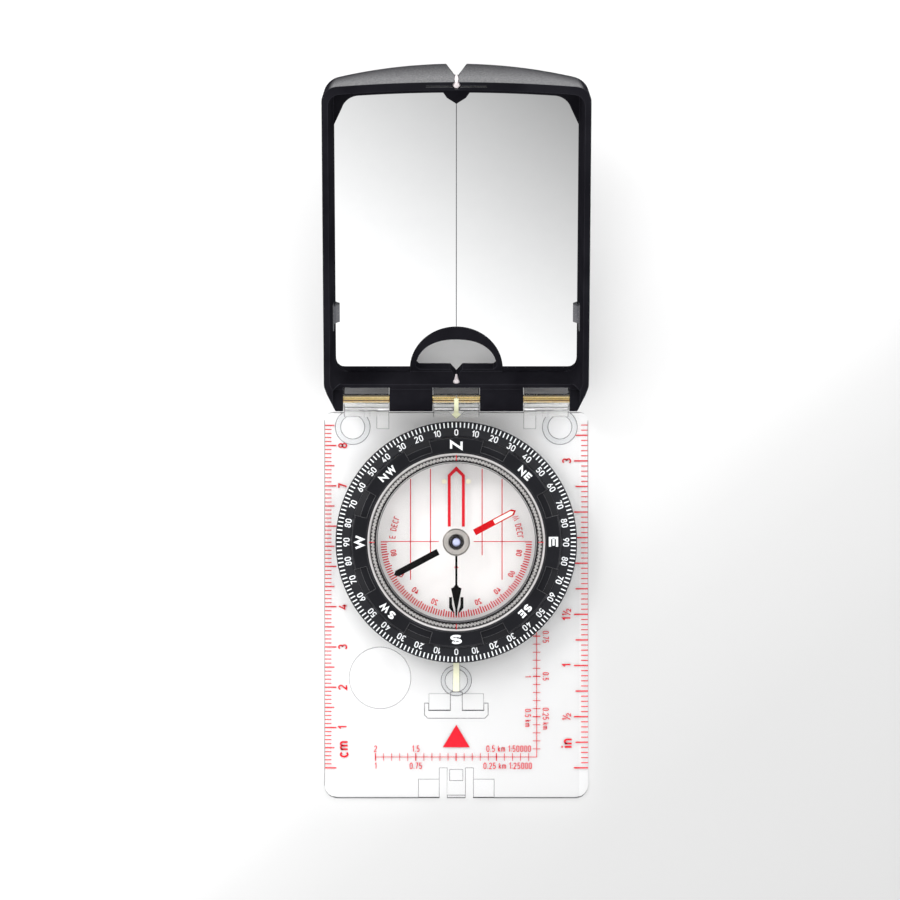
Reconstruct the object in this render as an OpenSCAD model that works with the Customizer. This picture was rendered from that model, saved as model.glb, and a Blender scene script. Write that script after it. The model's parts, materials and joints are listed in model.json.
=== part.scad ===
// Mirror sighting compass: a clear baseplate with feet and sights, a turning dial that carries
// an adjustable liquid capsule with its needle and clinometer, and a hinged mirror lid.
// Millimetres, +Z up, +Y from the baseplate towards the lid.
// The origin is under the middle of the open compass, on the surface that its feet stand on.

/* [Baseplate] */
// Width of the baseplate
base_w = 65.5; // [64:0.5:68]
// Thickness of the baseplate
base_t = 3.0; // [2.8:0.1:3.2]
// Height that the rubber feet hold the baseplate up
foot_proud = 0.3; // [0.2:0.1:0.4]
// Distance from the dial's axis to the front edge
front_len = 63.6; // [60:0.1:68]
// Distance from the dial's axis to the rear edge
rear_len = 32.2; // [32:0.1:32.4]
// Radius of the moulded magnifier
lens_r = 7.7; // [6:0.1:7.7]

/* [Lid] */
// Opening angle of the lid, 0 shut and 180 flat
lid_open = 155; // [100:1:180]
// Width of the lid at its rim
lid_w = 65.2; // [65:0.1:66]
// Length of the lid from the hinge axis
lid_len = 86.1; // [85:0.1:90]
// Height of the hinge axis above the surface
hinge_z = 10; // [9.8:0.1:10.4]
// Distance from the dial's axis to the hinge axis
hinge_len = 35.5; // [35.4:0.1:35.8]
// Depth of the lid's outer face behind the hinge axis
lid_back = 8; // [8:0.1:8.5]
// Height of the lid's rim in front of the hinge axis
lid_rim = 5; // [4:0.1:5.2]
// Thickness of the mirror
mirror_t = 1.2; // [1:0.1:1.4]

/* [Dial] */
// Radius of the graduated bezel
bezel_r = 29.9; // [29:0.1:30]
// Radius of the capsule
capsule_r = 22.4; // [22.2:0.1:22.4]
// Length of the needle's north half
needle_north = 16.7; // [14:0.1:17]
// Length of the needle's south half
needle_south = 17.5; // [14:0.1:17.6]
// Direction of the needle, clockwise from the dial's north
needle_bearing = 62; // [0:1:359]

/* [Declination gear] */
// Teeth on the capsule's ring gear
gear_teeth = 140; // [140:1:140]
// Teeth on the adjusting screw's pinion
pinion_teeth = 10; // [10:1:10]
// Module of both gears
gear_module = 0.3; // [0.3:0.1:0.3]

/* [Hidden] */
$fn = 96;
over = 1;        // how far a cutting solid runs past the face that it cuts
gap = 0.05;      // play between parts that sit in each other without moving
run_gap = 0.2;   // play between the turning dial parts

// Heights of the baseplate and dial
base_z = foot_proud;
base_top = base_z + base_t;
disc_z = base_z + 0.1;
disc_t = 1.0;
disc_top = disc_z + disc_t;
cup_z = disc_top + 0.3;
wall_z = cup_z + 1.4;
cup_floor = wall_z + 0.5;
cover_z = 7.6;
cover_top = 9.6;
flange_z = base_top + run_gap;
bezel_edge_z = 6.7;
bezel_step_z = 7.7;
card_top = 9.4;

// Radii of the dial
seat_r = 25.6;
neck_r = seat_r - run_gap;
disc_r = 27.4;
bore_r = capsule_r + run_gap;
card_r = 26.3;
card_lip_r = 22.05;
card_lip_t = 0.5;
card_foot_r = 23.6;
cup_r = 19.8;
cup_foot_r = 19.5;
notch_r = 24.6;
notch_angle = 15;
notch_drop = 0.6;
notch_slope = 0.55;               // fall of a notch's floor per millimetre outwards
letter_count = 8;

// Gears
gear_r = gear_module * gear_teeth / 2;
pinion_r = gear_module * pinion_teeth / 2;
pinion_x = gear_r + pinion_r;
pinion_at = 225;                  // where the screw sits, clockwise from the dial's north
pressure_angle = 20;
journal_r = 1.2;

// Hinge
tilt = 180 - lid_open;
knuckle_r = 3.1;
barrel_r = 3.15;
pin_r = 1;
pin_bore_r = 0.55;
pin_slit = 0.4;
pin_run = 0.03;                   // radial running clearance of the pin in the clear knuckles
mid_half = 5.7;                   // half length of the middle clear knuckle
side_in = 16.65;                  // inner and outer ends of the side clear knuckles
side_out = 27.8;
knuckle_gap = 0.15;
pin_end = 29.6;

// Lid, in its own frame: hinge axis on X through 0, +Y to the far end, +Z out of the mirror
rim_half = lid_w / 2;
back_half = rim_half - 0.3;
heel_half = 29.6;                 // half width at the heel, where the rear corners are cut away
heel_len = 5.5;
back_len = lid_len - 0.2;
rim_end_r = 351;                  // radii of the gentle end curves
back_end_r = 120;
cav_rim_half = rim_half - 1.5;
cav_floor_half = 29.9;
cav_rim_len = lid_len - 2.1;
cav_floor_len = lid_len - 4.1;
wall_y = 3.4;                     // the hinge wall's face towards the axis
wall_top = 1;
mirror_z = -4.5;                  // the mirror's face
back_plate_t = 2;
pad_t = lid_back - back_plate_t + mirror_z - mirror_t;
mirror_half = 29.7;
mirror_y0 = 5.4;
mirror_y1 = lid_len - 6.55;       // middle of the mirror's bowed far edge
mirror_corner = [23.5, 4.5];      // where the far corner's arc starts, and its radius
arch_r = 11.45;                   // black arch round the sighting window
arch_y = 6;
window_half = 10;
window_h = 7.9;
clip_y0 = 17.8;
clip_y1 = 24.8;
clip_z1 = -1;
sight_y = lid_len - 0.9;
sight_z = 4.2;
sight_tail = [lid_len + 0.4, 1.2];   // lower end of the front bead
rim_slit = [14.8, 0.4, 0.5];      // length, width and depth of the slit across the far rim
rim_slit_y = lid_len - 1.35;
rear_sight = [4.4, -0.2];
rear_sight_tip = [5.15, -2.9];

// Feet and front details, from the dial's axis
foot_x = 25.7;
foot_y = 28.5;
foot_r = 4.4;
foot_hole_r = 2.9;
front_foot_y = -34.4;
front_foot_r = 3.85;
front_foot_hole_r = 2.7;
foot_h = 2.25;
lens_at = [-18.9, -33.7];
lens_h = 1.0;
lens_sphere_r = (lens_r * lens_r + lens_h * lens_h) / (2 * lens_h);
bar_half = 8;
bar_y0 = -43.8;
bar_y1 = -39.8;
bar_h = 1.2;
stem_half = 1.6;
slot_x0 = 1.6;
slot_x1 = 6.7;
slot_y0 = -41.6;
slot_w = 3.9;
socket_half = 9.3;
socket_depth = 4.7;
tab_half = 2.35;
tab_y1 = -55.7;
slit_w = 1.8;
strip_w = 1.5;
strip_t = 0.4;
strip_y0 = -37;
strip_y1 = -26.5;

// Middle of the open compass, measured from the dial's axis
far_y = hinge_len + back_len * cos(tilt) + (lid_back - 0.5) * sin(tilt);
dial_y = -(far_y - front_len) / 2;

module at_dial() translate([0, dial_y, 0]) children();
module at_hinge() translate([0, dial_y + hinge_len, hinge_z]) children();
module at_lid() at_hinge() rotate([tilt, 0, 0]) children();
module both_sides() { children(); mirror([1, 0, 0]) children(); }
module along_x(x0, x1) translate([x0, 0, 0]) rotate([90, 0, 90]) linear_extrude(x1 - x0) children();
module tube(r0, r1, z0, z1) rotate_extrude() translate([r0, z0]) square([r1 - r0, z1 - z0]);
function arc(r, a0, a1, n) = [for (i = [0 : n]) let (a = a0 + (a1 - a0) * i / n) [r * cos(a), r * sin(a)]];
function superellipse(a, b, p, a0, a1, n) = [
    for (i = [0 : n]) let (t = a0 + (a1 - a0) * i / n, c = cos(t), s = sin(t))
        [a * sign(c) * pow(abs(c), 2 / p), b * sign(s) * pow(abs(s), 2 / p)]
];

// ---------------------------------------------------------------- baseplate

module plate_outline() {
    half = base_w / 2;
    front_r = 3.4;
    rear_r = 2.4;
    translate([-half, -front_len + front_r]) square([base_w, front_len + rear_len - front_r - rear_r]);
    translate([-half + front_r, -front_len]) square([base_w - 2 * front_r, front_r + over]);
    translate([-half + rear_r, rear_len - rear_r - over]) square([base_w - 2 * rear_r, rear_r + over]);
    for (side = [-1, 1]) {
        translate([side * (half - front_r), -front_len + front_r]) circle(front_r);
        translate([side * (half - rear_r), rear_len - rear_r]) circle(rear_r);
    }
}

// Slope along each long edge, which brings the ruler marks near the map
module edge_slope() {
    slope_w = 2.2;
    slope_h = 0.9;
    translate([0, rear_len + over, 0]) rotate([90, 0, 0]) linear_extrude(front_len + rear_len + 2 * over)
        polygon([
            [base_w / 2 - slope_w, base_top],
            [base_w / 2 + over, base_top],
            [base_w / 2 + over, base_top - slope_h * (1 + over / slope_w)]
        ]);
}

module lens() {
    translate([lens_at[0], lens_at[1], base_top])
        intersection() {
            translate([0, 0, lens_h - lens_sphere_r]) sphere(lens_sphere_r, $fn = 180);
            translate([0, 0, -base_t / 2]) cylinder(h = base_t, r = lens_r);
        }
}

// Upright that carries a clear knuckle, in the hinge's Y and Z
module post(x0, x1) {
    floor_z = base_z - hinge_z;
    along_x(x0, x1) polygon([
        [-4.5, floor_z], [1.5, floor_z], [2.9, -1], [-2.9, -1], [-4.5, -5.5]
    ]);
    along_x(x0, x1) circle(knuckle_r);
}

module gusset() {
    along_x(side_in, side_in + 3.1) polygon([
        [-7.5, base_z - hinge_z], [-4, base_z - hinge_z], [-4, -4.8], [-7.5, base_top - hinge_z + 1]
    ]);
}

// Pointed tongue under the rear index strip
module index_tongue() {
    intersection() {
        along_x(-2, 2) polygon([
            [-2, base_z - hinge_z], [-5, base_z - hinge_z], [-5, -3.9], [-3.3, -1.35], [-2, -1.2]
        ]);
        translate([0, 0, -hinge_z]) linear_extrude(2 * hinge_z)
            polygon([[-1.9, -1.9], [1.9, -1.9], [1.9, -3.4], [0, -5.1], [-1.9, -3.4]]);
    }
}

// Profile of the rear index strip, over the knuckle and down the tongue
function strip_profile(grow) = concat(
    arc(knuckle_r + grow, 90, 176, 14),
    [[-3.3 - grow, -1.35], [-4.75 - grow, -3.6]],
    [[-4.45 + grow, -3.85 - grow], [-2.95 + grow, -1.4 - grow]],
    arc(knuckle_r - strip_t - grow, 176, 90, 14)
);
module rear_strip_solid(half, grow) along_x(-half, half) polygon(strip_profile(grow));

module foot_ring(x, y, r0, r1, z0, z1) translate([x, y, 0]) tube(r0, r1, z0, z1);
module foot_pockets() {
    top = base_z + foot_h - foot_proud + gap;
    for (side = [-1, 1])
        foot_ring(side * foot_x, foot_y, foot_hole_r - gap, foot_r + gap, base_z - over, top);
    foot_ring(0, front_foot_y, front_foot_hole_r - gap, front_foot_r + gap, base_z - over, top);
}

// Raised bar over the cord slots, with cut corners and a stem between the slots
module cord_bar() {
    cut = 0.9;
    translate([0, 0, base_top - 0.5]) linear_extrude(bar_h + 0.5) polygon([
        [-bar_half, bar_y1], [-bar_half, bar_y0 + cut], [-bar_half + cut, bar_y0],
        [bar_half - cut, bar_y0], [bar_half, bar_y0 + cut], [bar_half, bar_y1]
    ]);
    translate([-stem_half, bar_y0 + cut, base_top - 0.5])
        cube([2 * stem_half, strip_y0 - bar_y0 - cut - gap, bar_h + 0.5]);
}

module cord_slots() both_sides()
    translate([slot_x0, slot_y0, -over]) cube([slot_x1 - slot_x0, slot_w, base_top + bar_h + 2 * over]);

// Socket for a snap-on lanyard clip: two shallow pockets with a slit on each side of a tab
module lanyard_socket() {
    floor_z = base_z + 1.1;
    both_sides() {
        translate([tab_half, -front_len - over, floor_z])
            cube([socket_half - tab_half, socket_depth + over, base_t]);
        translate([tab_half, -front_len - over, base_z - over])
            cube([slit_w, socket_depth + over + 2.8, base_t + 2 * over]);
    }
    translate([-tab_half, -front_len - over, base_z + 2.2])
        cube([2 * tab_half, over + 0.7, base_t]);
    translate([-tab_half + 0.8, tab_y1 - 3.4, base_top - 0.8]) cube([2 * tab_half - 1.6, 2.6, over + 0.8]);
}

module pin_hole(x0, x1, r) along_x(x0, x1) circle(r);

module baseplate() {
    color([0.93, 0.95, 0.96, 0.35]) difference() {
        union() {
            at_dial() difference() {
                translate([0, 0, base_z]) linear_extrude(base_t) plate_outline();
                both_sides() edge_slope();
            }
            at_dial() lens();
            at_dial() cord_bar();
            at_hinge() {
                post(-mid_half, mid_half);
                both_sides() post(side_in, side_out);
                both_sides() gusset();
                index_tongue();
            }
        }
        at_dial() {
            translate([0, 0, -over]) cylinder(h = base_top + 2 * over, r = seat_r);
            translate([0, 0, -over]) cylinder(h = disc_top + 0.1 + over, r = disc_r + run_gap);
            foot_pockets();
            cord_slots();
            lanyard_socket();
            translate([-strip_w / 2 - gap, strip_y0 - gap, base_top - strip_t])
                cube([strip_w + 2 * gap, strip_y1 - strip_y0 + 2 * gap, bar_h + over]);
        }
        at_hinge() {
            pin_hole(-side_out - over, side_out + over, pin_r + pin_run);
            rear_strip_solid(0.55 + gap, gap / 2);
        }
    }
}

module foot(x, y, r0, r1) color([0.9, 0.92, 0.93, 0.5]) at_dial() foot_ring(x, y, r0, r1, 0, foot_h);
module foot_left() foot(-foot_x, foot_y, foot_hole_r, foot_r);
module foot_right() foot(foot_x, foot_y, foot_hole_r, foot_r);
module foot_front() foot(0, front_foot_y, front_foot_hole_r, front_foot_r);

module index_strip_front() color([0.9, 0.93, 0.7]) at_dial()
    translate([-strip_w / 2, strip_y0, base_top - strip_t])
        cube([strip_w, strip_y1 - strip_y0, strip_t]);
module index_strip_rear() color([0.85, 0.88, 0.6]) at_hinge() rear_strip_solid(0.55, 0);

// ---------------------------------------------------------------- dial

module compass_bearing(a) rotate([0, 0, -a]) children();
module at_screw() compass_bearing(pinion_at) translate([0, pinion_x, 0]) children();

module bezel_ring() color([0.07, 0.07, 0.08]) at_dial() difference() {
    rotate_extrude() polygon([
        [bore_r, disc_top], [neck_r, disc_top], [neck_r, flange_z], [bezel_r - 0.3, flange_z],
        [bezel_r, flange_z + 0.3], [bezel_r, bezel_edge_z - 0.3], [bezel_r - 0.25, bezel_edge_z],
        [card_r, bezel_step_z], [card_foot_r, bezel_step_z], [card_foot_r, bezel_step_z - 1.2],
        [bore_r, bezel_step_z - 1.2]
    ]);
    at_screw() translate([0, 0, disc_top - over]) cylinder(h = over + 1.9, r = pinion_r + gear_module + 0.2);
}

// Raised ring for the letters, with a finger notch between each pair
module cardinal_ring() color([0.1, 0.1, 0.11]) at_dial() difference() {
    rotate_extrude() polygon([
        [card_foot_r - gap, bezel_step_z - 1.15], [card_foot_r - gap, bezel_step_z + gap],
        [card_r - 0.1, bezel_step_z + gap], [card_r - 0.35, card_top - 0.2],
        [card_r - 0.6, card_top], [card_lip_r + 0.25, card_top], [card_lip_r, card_top - 0.25],
        [card_lip_r, card_top - card_lip_t], [bore_r + 0.1, card_top - card_lip_t - 0.2],
        [bore_r + 0.1, bezel_step_z - 1.15]
    ]);
    for (i = [0 : letter_count - 1])
        compass_bearing((i + 0.5) * 360 / letter_count)
            rotate([0, 0, 90 - notch_angle / 2]) rotate_extrude(angle = notch_angle) polygon([
                [notch_r, card_top - notch_drop],
                [card_r + over, card_top - notch_drop - notch_slope * (card_r + over - notch_r)],
                [card_r + over, card_top + over], [card_lip_r + 0.9, card_top + over],
                [card_lip_r + 0.9, card_top - 0.35], [notch_r, card_top - 0.35]
            ]);
}

module scale_disc() color([0.95, 0.95, 0.95, 0.5]) at_dial() difference() {
    translate([0, 0, disc_z]) cylinder(h = disc_t, r = disc_r);
    at_screw() translate([0, 0, -over]) cylinder(h = disc_top + 2 * over, r = journal_r + 0.03);
}

// Involute gear outline: half the angle that a tooth fills at each radius
function involute(a) = tan(a) * 180 / PI - a;
function half_tooth(teeth, r, base_r, play) =
    90 / teeth * (1 - play) + involute(pressure_angle) - involute(r > base_r ? acos(base_r / r) : 0);
function gear_outline(teeth, tip, root, steps, play) =
    let (
        pitch_r = gear_module * teeth / 2,
        base_r = pitch_r * cos(pressure_angle),
        r0 = pitch_r - root * gear_module,
        r1 = pitch_r + tip * gear_module,
        flank = [for (k = [0 : steps]) r0 + (r1 - r0) * k / steps]
    )
    [for (i = [0 : teeth - 1]) let (c = 360 / teeth * i) each concat(
        [for (r = flank) let (a = c - half_tooth(teeth, r, base_r, play)) [r * sin(a), r * cos(a)]],
        [for (k = [0 : steps]) let (r = flank[steps - k], a = c + half_tooth(teeth, r, base_r, play))
            [r * sin(a), r * cos(a)]]
    )];

module declination_gear() color([0.3, 0.3, 0.32]) at_dial() difference() {
    translate([0, 0, cup_z]) compass_bearing(pinion_at) linear_extrude(wall_z - cup_z - gap)
        polygon(gear_outline(gear_teeth, 0.9, 1.15, 1, 0.2));
    translate([0, 0, -over]) cylinder(h = cover_top, r = cup_foot_r + gap);
}

// Pinion with a journal in the scale disc, and a key slot in its lower end
module declination_screw() color([0.8, 0.62, 0.25]) at_dial() at_screw() difference() {
    union() {
        translate([0, 0, disc_top + gap]) rotate([0, 0, 180 / pinion_teeth + 180])
            linear_extrude(wall_z - disc_top - gap - run_gap)
                polygon(gear_outline(pinion_teeth, 0.85, 1.1, 3, 0.25));
        translate([0, 0, disc_z + 0.1]) cylinder(h = disc_t, r = journal_r);
    }
    translate([-journal_r - over, -0.3, -over]) cube([2 * (journal_r + over), 0.6, disc_z + 0.6 + over]);
}

module capsule_cup() color([0.93, 0.95, 0.95, 0.4]) at_dial() difference() {
    rotate_extrude() polygon([
        [0, cup_z], [cup_foot_r, cup_z], [cup_foot_r, wall_z], [capsule_r, wall_z],
        [capsule_r, cover_z], [cup_r, cover_z], [cup_r, cup_floor], [0, cup_floor]
    ]);
    translate([0, 0, cup_z + 0.4]) cylinder(h = cup_floor, r = 0.5);
}

module capsule_cover() color([0.93, 0.95, 0.95, 0.4]) at_dial() rotate_extrude() polygon([
    [0, cover_z], [capsule_r, cover_z], [capsule_r, cover_z + 0.8],
    [card_lip_r - 0.2, cover_z + 1.2], [20.2, cover_top - 0.1], [19.7, cover_top], [0, cover_top]
]);

needle_z = 5.3;
jewel_tip = 6.35;
clino_z = 4.1;
bush_r = 0.9;
module pivot_pin() color([0.75, 0.75, 0.78]) at_dial() {
    translate([0, 0, cup_z + 0.4]) cylinder(h = 4.6 - cup_z - 0.4, r = 0.5);
    translate([0, 0, 4.6]) cylinder(h = jewel_tip - gap - 4.6, r1 = 0.5, r2 = 0.06);
}
module clinometer_bush() color([0.8, 0.65, 0.3]) at_dial() difference() {
    union() {
        translate([0, 0, cup_floor]) cylinder(h = clino_z - cup_floor - 0.1, r = 1.4);
        translate([0, 0, cup_floor]) cylinder(h = clino_z - cup_floor + 0.45, r = bush_r);
    }
    cylinder(h = cover_top, r = 0.5);
}

module tip_strip(half, length, point) polygon([
    [-half, 0], [-half, length - point], [0, length], [half, length - point], [half, 0]
]);
module at_needle() at_dial() compass_bearing(needle_bearing) children();
module needle_blade() color([0.95, 0.95, 0.95, 0.5]) at_needle() difference() {
    union() {
        translate([0, 0, needle_z]) linear_extrude(0.4) tip_strip(0.8, needle_north, 0.9);
        translate([0, 0, needle_z]) linear_extrude(0.4) rotate([0, 0, 180]) tip_strip(0.8, needle_south, 0.9);
        translate([0, 0, needle_z]) cylinder(h = 0.4, r = 4.3);
    }
    cylinder(h = cover_top, r = 1.75);
}
module needle_magnet() color([0.6, 0.59, 0.57]) at_needle() rotate_extrude() polygon([
    [1.8, needle_z + 0.4], [3.4, needle_z + 0.4], [3.4, needle_z + 0.9], [3.0, needle_z + 1.3],
    [2.1, needle_z + 1.3], [1.8, needle_z + 1.1]
]);
module jewel_holder() color([0.05, 0.05, 0.05]) at_needle() rotate_extrude() polygon([
    [1.1, needle_z], [1.7, needle_z], [1.7, needle_z + 1.3], [1.45, needle_z + 1.6], [1.1, needle_z + 1.6]
]);
module jewel() color([0.62, 0.66, 0.85]) at_needle() difference() {
    union() {
        translate([0, 0, needle_z]) cylinder(h = 1.3, r = 1.05);
        translate([0, 0, needle_z + 1.3]) cylinder(h = 0.35, r1 = 1.05, r2 = 0.6);
    }
    translate([0, 0, needle_z - over]) cylinder(h = over + 0.2, r = 0.75);
    translate([0, 0, needle_z + 0.2 - 0.01]) cylinder(h = jewel_tip - needle_z - 0.2, r1 = 0.6, r2 = 0.12);
}

// Pendulum arrow that hangs from the pivot when the compass is held on its side
module clinometer_arrow() color([0.04, 0.04, 0.04]) at_dial() difference() {
    translate([0, 0, clino_z]) linear_extrude(0.35) union() {
        circle(2.1);
        polygon([
            [-0.27, 0], [-0.27, -10.6], [-0.7, -11.2], [-1.3, -11.5], [-0.25, -16.6], [-0.18, -18.3],
            [0.18, -18.3], [0.25, -16.6], [1.3, -11.5], [0.7, -11.2], [0.27, -10.6], [0.27, 0]
        ]);
    }
    cylinder(h = cover_top, r = bush_r + 0.06);
}

// ---------------------------------------------------------------- lid, in its own frame

// Rectangle with cut rear corners, a gently curved far end and rounded front corners
module lid_outline(half, heel, y_heel, y_end, end_r, corner_r) {
    offset(r = corner_r, $fn = 48) offset(delta = -corner_r) intersection() {
        polygon([
            [-heel, -barrel_r], [heel, -barrel_r], [half, y_heel], [half, y_end],
            [-half, y_end], [-half, y_heel]
        ]);
        translate([0, y_end - end_r]) circle(end_r, $fn = 720);
    }
}

module slab(z, t) translate([0, 0, z]) linear_extrude(t) children();

module lid_body() intersection() {
    hull() {
        slab(lid_rim - 0.1, 0.1) lid_outline(rim_half, heel_half, heel_len, lid_len, rim_end_r, 4);
        slab(-lid_back + 0.5, 0.1) lid_outline(back_half, heel_half, heel_len, back_len, back_end_r, 5);
        slab(-lid_back, 0.1)
            lid_outline(back_half - 0.4, heel_half - 0.3, heel_len, back_len - 0.4, back_end_r, 4.6);
    }
    union() {
        along_x(-rim_half - over, rim_half + over) circle(barrel_r);
        along_x(-rim_half - over, rim_half + over) polygon([
            [-barrel_r, 0], [-1.7, -lid_back], [lid_len + over, -lid_back],
            [lid_len + over, lid_rim], [3.2, lid_rim], [-0.7, 3.07]
        ]);
    }
}

module cavity_outline(half, y0, y_end, end_r, corner_r) {
    offset(r = corner_r, $fn = 32) offset(delta = -corner_r) intersection() {
        translate([-half, y0]) square([2 * half, y_end - y0]);
        translate([0, y_end - end_r]) circle(end_r, $fn = 720);
    }
}

module lid_cavity() {
    hull() {
        slab(mirror_z + 0.1, 0.1) cavity_outline(cav_floor_half, mirror_y0, cav_floor_len, rim_end_r, 3);
        slab(lid_rim + 0.1, 0.1) cavity_outline(cav_rim_half, wall_y, cav_rim_len, rim_end_r, 3);
    }
    translate([-cav_rim_half + 0.6, -barrel_r - over, wall_top])
        cube([2 * cav_rim_half - 1.2, wall_y + barrel_r + 2 * over, lid_rim + over]);
}

// Outer end of the barrel, cut to the slope of the heel
module heel_barrel() intersection() {
    along_x(side_out + knuckle_gap, rim_half) circle(barrel_r);
    slab(-barrel_r, 2 * barrel_r) polygon([
        [0, -barrel_r], [heel_half, -barrel_r], [rim_half, heel_len], [0, heel_len]
    ]);
}

module knuckle_cuts() {
    reach = barrel_r + over;
    for (x = [[-mid_half, mid_half], [side_in, side_out], [-side_out, -side_in]])
        translate([x[0] - knuckle_gap, -reach, -lid_back - over])
            cube([x[1] - x[0] + 2 * knuckle_gap, wall_y + reach, lid_back + lid_rim + 2 * over]);
}

module mirror_outline() difference() {
    corner_x = mirror_corner[0];
    corner_r = mirror_corner[1];
    bow_a = asin(corner_x / rim_end_r);
    corner_y = mirror_y1 - rim_end_r * (1 - cos(bow_a)) - corner_r;
    polygon([
        for (p = arc(4, 180, 270, 8)) p + [-mirror_half + 4, mirror_y0 + 4],
        for (p = arc(4, 270, 360, 8)) p + [mirror_half - 4, mirror_y0 + 4],
        [mirror_half, corner_y - 3],
        for (p = arc(corner_r, 16, 88, 8)) p + [corner_x, corner_y],
        for (p = arc(rim_end_r, 90 - bow_a, 90 + bow_a, 16)) p + [0, mirror_y1 - rim_end_r],
        for (p = arc(corner_r, 92, 164, 8)) p + [-corner_x, corner_y],
        [-mirror_half, corner_y - 3]
    ]);
    translate([0, arch_y]) circle(arch_r + gap);
    translate([0, mirror_y1]) polygon([
        [-3.9, 1], [-2.3, -1.4], [-0.5, -2.6], [0, -3], [0.5, -2.6], [2.3, -1.4], [3.9, 1]
    ]);
}

// Half-moon sighting window with a small notch that points to the rear sight
module window_outline() {
    polygon(concat(
        [[window_half, arch_y + 0.8], [window_half - 0.8, arch_y], [1.5, arch_y], [0, arch_y - 1.8]],
        [[-1.5, arch_y], [-window_half + 0.8, arch_y], [-window_half, arch_y + 0.8]],
        [for (p = superellipse(window_half, window_h, 2.25, 172, 8, 28)) p + [0, arch_y + 0.1]]
    ));
}

// V groove in the far end, deepest at the outer face
module sight_groove() translate([0, back_len - 3.2, -lid_back - 0.1]) rotate([-20, 0, 0])
    translate([0, 0, -over]) linear_extrude(14) polygon([[-0.5, 0.1], [-4.15, 5], [4.15, 5], [0.5, 0.1]]);

module sight_bead_shape(grow) {
    translate([0, sight_y, sight_z]) sphere(0.95 + grow, $fn = 48);
    run = sight_tail - [sight_y, sight_z];
    translate([0, sight_y, sight_z]) rotate([atan2(run[1], run[0]) - 90, 0, 0])
        cylinder(h = norm(run) + grow, r1 = 0.85 + grow, r2 = 0.2 + grow, $fn = 48);
}
module rear_bead_shape(grow) {
    run = rear_sight_tip - rear_sight;
    translate([0, rear_sight[0], rear_sight[1]]) {
        sphere(0.8 + grow, $fn = 48);
        rotate([atan2(run[1], run[0]) - 90, 0, 0])
            cylinder(h = norm(run) + grow, r1 = 0.65 + grow, r2 = 0.25 + grow, $fn = 48);
    }
}

module clip_solid(grow) {
    translate([30.1 - grow, clip_y0 - grow, mirror_z + 0.1 - grow])
        cube([0.9 + grow, clip_y1 - clip_y0 + 2 * grow, clip_z1 - mirror_z + grow]);
    translate([28.7, clip_y0 + 1.2, mirror_z + 0.1])
        rotate([90, 0, 0]) mirror([0, 0, 1]) linear_extrude(clip_y1 - clip_y0 - 2.4)
            polygon([[0, 0], [1.6, 0], [1.6, 1.9], [0.9, 1.2], [0, 0.5]]);
}

module lid_shell() color([0.08, 0.08, 0.09]) at_lid() difference() {
    union() {
        difference() {
            lid_body();
            lid_cavity();
            knuckle_cuts();
            slab(mirror_z - mirror_t - pad_t, 3) offset(delta = 0.1) mirror_outline();
        }
        both_sides() along_x(mid_half + knuckle_gap, side_in - knuckle_gap) circle(barrel_r);
        both_sides() heel_barrel();
    }
    slab(-lid_back - over, lid_back + over - 2) window_outline();
    sight_groove();
    sight_bead_shape(0.02);
    translate([0, sight_y, sight_z]) cylinder(h = 3, r = 0.97, $fn = 48);
    rear_bead_shape(0.02);
    both_sides() clip_solid(0.02);
    pin_hole(-rim_half - over, rim_half + over, pin_r);
    translate([-rim_slit[0] / 2, rim_slit_y, lid_rim - rim_slit[2]]) cube([rim_slit[0], rim_slit[1], over]);
    // shallow panel in the outer face
    slab(-lid_back - over, over + 0.3) cavity_outline(26, 22, lid_len - 10.1, 400, 5);
}

module mirror_plate() color([0.9, 0.91, 0.92]) at_lid() slab(mirror_z - mirror_t, mirror_t) mirror_outline();
module mirror_pad() color([0.15, 0.15, 0.15]) at_lid()
    slab(mirror_z - mirror_t - pad_t, pad_t) offset(delta = -1.5) mirror_outline();
module mirror_clip_left() color([0.35, 0.35, 0.37]) at_lid() mirror([1, 0, 0]) clip_solid(0);
module mirror_clip_right() color([0.35, 0.35, 0.37]) at_lid() clip_solid(0);
module sight_bead_front() color([0.95, 0.92, 0.92]) at_lid() sight_bead_shape(0);
module sight_bead_rear() color([0.95, 0.92, 0.92]) at_lid() rear_bead_shape(0);

// Slotted spring pin, pressed into the lid's knuckles
module hinge_pin(side) color([0.85, 0.65, 0.3]) at_lid() mirror([side < 0 ? 1 : 0, 0, 0]) difference() {
    along_x(0.1, pin_end) circle(pin_r, $fn = 48);
    along_x(0, pin_end + over) circle(pin_bore_r, $fn = 48);
    translate([0, -pin_slit / 2, 0]) cube([pin_end + over, pin_slit, pin_r + over]);
}

baseplate();
foot_left();
foot_right();
foot_front();
index_strip_front();
index_strip_rear();
bezel_ring();
cardinal_ring();
scale_disc();
declination_screw();
declination_gear();
capsule_cup();
capsule_cover();
pivot_pin();
clinometer_bush();
needle_blade();
needle_magnet();
jewel_holder();
jewel();
clinometer_arrow();
lid_shell();
mirror_plate();  // mirror
mirror_pad();
mirror_clip_left();
mirror_clip_right();
sight_bead_front();
sight_bead_rear();
hinge_pin(-1);  // hinge_pin_left
hinge_pin(1);  // hinge_pin_right
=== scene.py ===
import json
import math

import bmesh
import bpy
from mathutils import Matrix, Vector

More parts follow.
